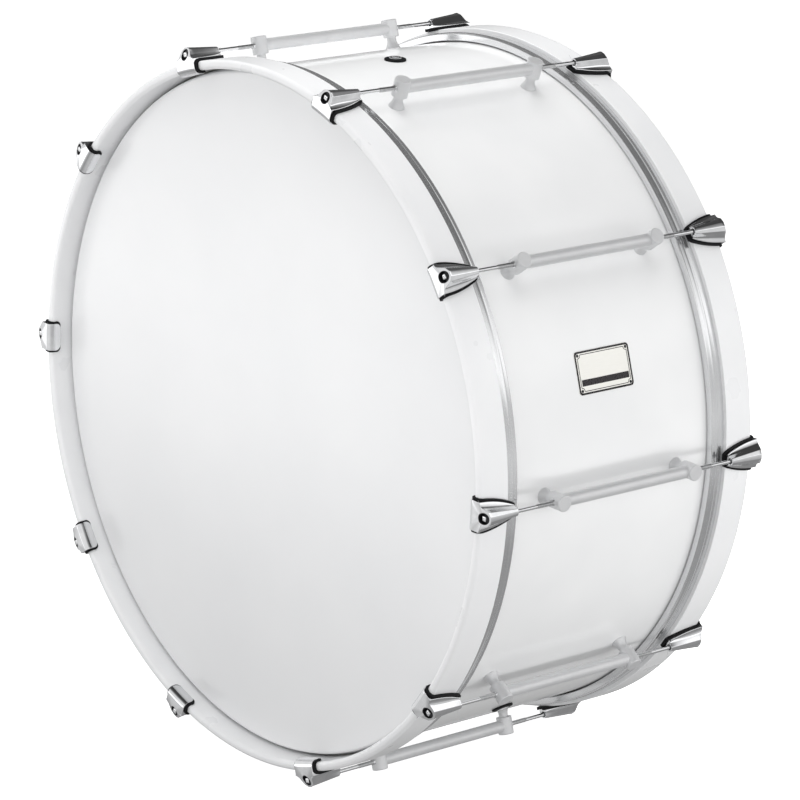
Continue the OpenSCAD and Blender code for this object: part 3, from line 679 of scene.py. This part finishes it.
def nylon_washer_and_shade_collar_mesh():
    """Nylon washer with a thin collar up the wall of the claw's recess: the washer is real, the black collar
    is painted shade for the deep recess.
    """
    bore, wall_in, wall_out = 3.05, 5.95, 6.45
    return leaning(on_rod(path(
        [bore, RECESS_Y], arc(6.25, RECESS_Y + 0.2, 0.2, 270, 360, 3),
        [[wall_out, y] for y in (202, 204.5, 207)],
        arc(6.2, 208.9, 0.25, 0, 180, 6), [[wall_in, y] for y in (207, 204.5, 202)],
        arc(6.05, RECESS_Y + 1.7, 0.2, 180, 270, 3), [3.15, RECESS_Y + 1.5], [bore, RECESS_Y + 1.4]), 40))


def screw_mesh():
    """Round-headed screw with a dimple in its head, which lies towards the drum's middle."""
    seat, r, shank_r, end = 395.2, 5.0, 2.5, 420.5
    dome = [(r * math.sin(a), seat - 3.5 * math.cos(a)) for a in np.radians(np.linspace(14, 88, 9))]
    return on_radius(path(
        [0, seat - 2.6], [0.9, seat - 3.2], dome, [r, seat],
        [shank_r, seat + 0.01], [shank_r, end], [0, end]), POST_Y, 32)


def vent_ring_mesh():
    """Rubber ring round an air vent, with rounded upper edges."""
    return on_radius(path(
        [6.1, 404.6], [13.0, 404.6], [13.0, 406.0],
        arc(12.1, 406.3, 0.9, 0, 90, 6), arc(7.0, 406.3, 0.9, 90, 180, 6)), 0, 56)


def eyelet_mesh():
    """Tube through the shell at an air vent, with a rolled rim outside and a flange inside."""
    lip = 396.4
    return on_radius(path(
        [4.0, lip - 1.0], arc(7.6, lip - 0.6, 0.4, 270, 360, 3), [8.0, lip], [5.8, lip], [5.8, 407.2],
        arc(6.9, 407.8, 0.6, 270, 360, 4), arc(6.7, 408.0, 0.8, 0, 90, 6),
        arc(5.0, 407.8, 1.0, 90, 180, 6)), 0, 56)


def badge_loop(inset, corner):
    """Rounded rectangle on the badge: columns are along the drum's axis and around the shell."""
    y, u = BADGE_L / 2 - inset - corner, BADGE_H / 2 - inset - corner
    return path(arc(y, u, corner, 0, 90), arc(-y, u, corner, 90, 180),
                arc(-y, -u, corner, 180, 270), arc(y, -u, corner, 270, 360))


def notched_loop(inset, notch):
    """The badge's inner line, which steps round its four pins."""
    y, u = BADGE_L / 2 - PIN_INSET, BADGE_H / 2 - PIN_INSET
    d = math.degrees(math.asin((inset - PIN_INSET) / notch))
    corners = ((y, u, 0), (-y, u, 90), (-y, -u, 180), (y, -u, 270))
    return path(*(arc(cy, cu, notch, a + 270 + d, a + 180 - d, 10) for cy, cu, a in corners))


def on_badge(points, r):
    """Points (along the axis, around the shell) laid on the shell's curve at radius r."""
    a = math.radians(BADGE_ANGLE) - points[:, 1] / SHELL_R
    return np.column_stack([r * np.sin(a), points[:, 0], r * np.cos(a)])


def badge_strip(outside, inside, low, high):
    """Closed thin strip between two loops on the badge, from radius low to high."""
    a, b = closed(outside), closed(inside)
    section = ((a, low), (a, high), (b, high), (b, low), (a, low))
    return weld([grid([on_badge(loop, r) for loop, r in section])])


def badge_parts():
    """The plate with its raised border, notched inner line and plain band."""
    outline, chamfer = closed(badge_loop(0, 4)), 0.25
    rows = [on_badge(outline * k, r) for k, r in ((0, SHELL_R), (0.5, SHELL_R), (1, SHELL_R), (1, 405.65))]
    rows += [on_badge(outline * [1 - chamfer * 2 / BADGE_L, 1 - chamfer * 2 / BADGE_H], BADGE_TOP_R)]
    rows += [on_badge(outline * k, BADGE_TOP_R) for k in (0.85, 0.7, 0.5, 0.3, 0.15, 0)]
    plate = weld([grid(rows)])
    border = badge_strip(badge_loop(0.15, 3.9), badge_loop(2.4, 2.3), 405.7, 405.88)
    low, high = 405.72, 405.85
    line = badge_strip(notched_loop(4.8, 2.9), notched_loop(5.6, 3.7), low, high)
    y = np.linspace(-BADGE_L / 2 + 5.6, BADGE_L / 2 - 5.6, 9)
    lanes = [np.column_stack([y, np.full(len(y), u)]) for u in (-7.6, -11.2, -14.8)]
    faces = [[on_badge(lane, r) for lane in lanes] for r in (high, low)]
    sides = [[on_badge(lanes[k], r) for r in (low, high)] for k in (0, -1)]
    ends = [[np.array([on_badge(lane[[k]], r)[0] for lane in lanes]) for r in (low, high)] for k in (0, -1)]
    band = weld([grid(patch) for patch in (*faces, *sides, *ends)])
    return [plate, border, line, band]


def pin_meshes():
    """Domed pins at the badge's four corners."""
    dome = [(1.8 * math.cos(a), BADGE_TOP_R + 0.7 * math.sin(a)) for a in np.radians(np.linspace(0, 90, 7))]
    pin = on_radius(path([0, 400.4], [0.5, 400.3], [0.8, 401.2], [0.8, BADGE_TOP_R], dome), 0, 28)
    y, step = BADGE_L / 2 - PIN_INSET, math.degrees((BADGE_H / 2 - PIN_INSET) / SHELL_R)
    made = []
    for angle in (BADGE_ANGLE - step, BADGE_ANGLE + step):
        verts, faces = turned(pin, angle)
        made += [(verts - [0, y, 0], faces), (verts + [0, y, 0], faces)]
    return made


def build(m):
    """Places every piece: what is fixed to the shell, then each head's set and its rods."""
    edge = 0.15
    covering = ring(path(
        [COVERING_IN, -COVERING_END_Y], [SHELL_R - edge, -COVERING_END_Y],
        [[SHELL_R, y] for y in (-COVERING_END_Y + edge, -90, 0, 90, COVERING_END_Y - edge)],
        [SHELL_R - edge, COVERING_END_Y], [COVERING_IN, COVERING_END_Y]), 480)
    posts = at_lugs(post_mesh())
    rings, eyelets = ([turned(part, a) for a in VENT_ANGLES] for part in (vent_ring_mesh(), eyelet_mesh()))
    on_shell = (
        ("covering_sheet", [covering], "covering", "shell_covering"),
        ("tubes", at_lugs(tube_mesh()), "lug_metal", "lug_tubes"),
        ("posts_rear", posts, "lug_metal", "rear_lug_posts"),
        ("posts_front", [mirrored(p) for p in posts], "lug_metal", "front_lug_posts"),
        ("inserts", both_ends(at_lugs(insert_mesh())), "rod_steel", "lug_inserts"),
        ("post_screws", both_ends(at_lugs(screw_mesh())), "rod_steel", "lug_screws"),
        ("vent_gaskets", rings, "black_rubber", "vent_rings"),
        ("vent_tubes", eyelets, "claw_chrome", "vent_eyelets"))
    for name, parts, material, node in on_shell:
        place(name, parts, [m[material]], "shell_body", [node])
    place("badge", badge_parts(), [m["badge_metal"], m["badge_enamel"]], "shell_body",
          ["badge_plate"], [0, 1, 1, 1])
    place("badge_nails", pin_meshes(), [m["pin_steel"]], "shell_body", ["badge_pins"])

    on_head = (
        ("film", [ring(film_profile())], "head_film", "head_film"),
        ("flesh_ring", [ring(flesh_profile())], "hoop_metal", "flesh_hoop"),
        ("hoop", [ring(hoop_profile())], "hoop_lacquer", "counter_hoop"),
        ("claw_set", at_lugs(claw_mesh()), "claw_chrome", "claws"),
        ("liners_with_shade_rims", at_lugs(liner_mesh()), "black_rubber", "claw_liners"),
        ("nylon_washers_and_recess_shade", at_lugs(nylon_washer_and_shade_collar_mesh()), "black_nylon", "nylon_washers"),
        ("steel_rings", at_lugs(washer_mesh()), "rod_steel", "steel_washers"))
    rod = rod_mesh()
    for end in ("front", "rear"):
        flip = mirrored if end == "front" else (lambda part: part)
        for name, parts, material, node in on_head:
            flipped = [flip(p) for p in parts]
            place(f"{end}_{name}", flipped, [m[material]], f"{end}_head_set", [f"{end}_{node}"])
        # Each rod's flange takes the near-black pin material: painted shade in the claw's recess
        for i, angle in enumerate(LUG_ANGLES, 1):
            place(f"{end}_rod_piece_{i}", [flip(turned(p, angle)) for p in rod],
                  [m["rod_steel"], m["rod_thread"], m["pin_steel"]],
                  f"{end}_rod_{i}", [f"{end}_key_rod_{i}"], [1, 0, 2, 0])
    # Nodes that keep the CAD's own mesh
    carried = {"shell": "shell_wood", "lug_washers": "rod_steel", "front_head_resin": "resin",
               "rear_head_resin": "resin"}
    for node, material in carried.items():
        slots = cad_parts[node].data.materials
        slots.clear()
        slots.append(m[material])


# ---------------------------------------------------------------- stage, light and camera

def floor(m):
    """Pale ground that throws no light on the drum and isn't reflected in it."""
    verts, faces = grid([[(x, y, 0) for x in np.linspace(-FLOOR_REACH, FLOOR_REACH, 7)]
                         for y in np.linspace(-FLOOR_REACH, FLOOR_REACH, 7)])
    mesh = bpy.data.meshes.new("floor")
    mesh.from_pydata(verts.tolist(), [], faces)
    mesh.materials.append(m["floor_paper"])
    obj = bpy.data.objects.new("floor", mesh)
    # Half a millimetre under the drum's lowest lugs
    obj.location.z = -0.0005
    bpy.context.scene.collection.objects.link(obj)
    obj.visible_diffuse = obj.visible_glossy = False


def rise(tree, way, towards, low, high):
    """Goes smoothly from 0 to 1 as a direction turns towards another."""
    facing = tree.nodes.new("ShaderNodeVectorMath")
    facing.operation = "DOT_PRODUCT"
    tree.links.new(way, facing.inputs[0])
    facing.inputs[1].default_value = towards
    scale = tree.nodes.new("ShaderNodeMapRange")
    scale.interpolation_type = "SMOOTHSTEP"
    scale.inputs["From Min"].default_value, scale.inputs["From Max"].default_value = low, high
    tree.links.new(facing.outputs["Value"], scale.inputs["Value"])
    return scale.outputs[0]


def mixed(tree, blend_type, first, second, factor=None):
    """The second colour laid over the first; all of it where no factor is given."""
    mix = tree.nodes.new("ShaderNodeMix")
    mix.data_type, mix.blend_type = "RGBA", blend_type
    mix.inputs["Factor"].default_value = 1
    if factor is not None:
        tree.links.new(factor, mix.inputs["Factor"])
    tree.links.new(first, mix.inputs["A"])
    tree.links.new(second, mix.inputs["B"])
    return mix.outputs["Result"]


def grey(tree, level):
    """A colour that is the same in every direction."""
    colour = tree.nodes.new("ShaderNodeRGB").outputs[0]
    colour.default_value = (level, level, level, 1)
    return colour


def ramp_of(tree, value, stops):
    """Grey levels, as parts of the world's strength, over a value from -1 to 1."""
    scale = tree.nodes.new("ShaderNodeMapRange")
    scale.inputs["From Min"].default_value = -1
    tree.links.new(value, scale.inputs["Value"])
    ramp = tree.nodes.new("ShaderNodeValToRGB")
    while len(ramp.color_ramp.elements) < len(stops):
        ramp.color_ramp.elements.new(0.5)
    for element, (position, level) in zip(ramp.color_ramp.elements, stops):
        element.position, element.color = 0.5 + position / 2, (*[level / WORLD_STRENGTH] * 3, 1)
    tree.links.new(scale.outputs[0], ramp.inputs[0])
    return ramp.outputs[0]


def studio():
    """Pale walls under a dark ceiling, which light the drum and show in its chrome."""
    world = bpy.data.worlds.new("studio")
    world.use_nodes = True
    tree = world.node_tree
    way = tree.nodes.new("ShaderNodeTexCoord").outputs["Generated"]
    split = tree.nodes.new("ShaderNodeSeparateXYZ")
    tree.links.new(way, split.inputs[0])
    height = split.outputs["Z"]
    left, right = ramp_of(tree, height, LEFT), ramp_of(tree, height, RIGHT)
    levels = mixed(tree, "MIX", left, right, rise(tree, way, *TO_RIGHT))
    levels = mixed(tree, "MIX", levels, grey(tree, CORNER_LEVEL), rise(tree, way, *TO_CORNER))
    window = tree.nodes.new("ShaderNodeVectorMath")
    window.operation = "SCALE"
    tree.links.new(rise(tree, way, *TO_WINDOW), window.inputs[0])
    window.inputs["Scale"].default_value = WINDOW_LEVEL
    levels = mixed(tree, "ADD", levels, window.outputs[0])
    # Past the floor's edge the ground stays as pale as the floor
    seen = tree.nodes.new("ShaderNodeLightPath").outputs["Is Camera Ray"]
    back = tree.nodes["Background"]
    tree.links.new(mixed(tree, "MIX", levels, grey(tree, 1 / WORLD_STRENGTH), seen), back.inputs["Color"])
    back.inputs["Strength"].default_value = WORLD_STRENGTH
    bpy.context.scene.world = world


def lamp(name, place_at, aim, size, power):
    """A softbox that isn't seen itself, either directly or as a reflection."""
    data = bpy.data.lights.new(name, "AREA")
    data.shape, data.size, data.size_y, data.energy = "RECTANGLE", *size, power
    obj = bpy.data.objects.new(name, data)
    obj.location = place_at
    obj.rotation_euler = (Vector(aim) - Vector(place_at)).to_track_quat("-Z", "Y").to_euler()
    obj.visible_camera = obj.visible_glossy = False
    bpy.context.scene.collection.objects.link(obj)


def camera():
    """The camera that was fitted to the photograph's edges."""
    data = bpy.data.cameras.new("camera")
    data.lens, data.sensor_width, data.clip_end = 170.29, 36, 60
    obj = bpy.data.objects.new("camera", data)
    right, up = Vector((0.62848, 0.77716, 0.03225)), Vector((-0.24700, 0.16009, 0.95570))
    forward = Vector((-0.73757, 0.60860, -0.29257))
    turn = Matrix((right, up, -forward)).transposed()
    obj.matrix_world = Matrix.Translation((3.3650, -2.7520, 1.7417)) @ turn.to_4x4()
    bpy.context.scene.collection.objects.link(obj)
    bpy.context.scene.camera = obj


materials = make_materials()
build(materials)
floor(materials)
studio()
for row in LAMPS:
    lamp(*row)
camera()
bpy.context.scene.view_settings.view_transform = "Standard"
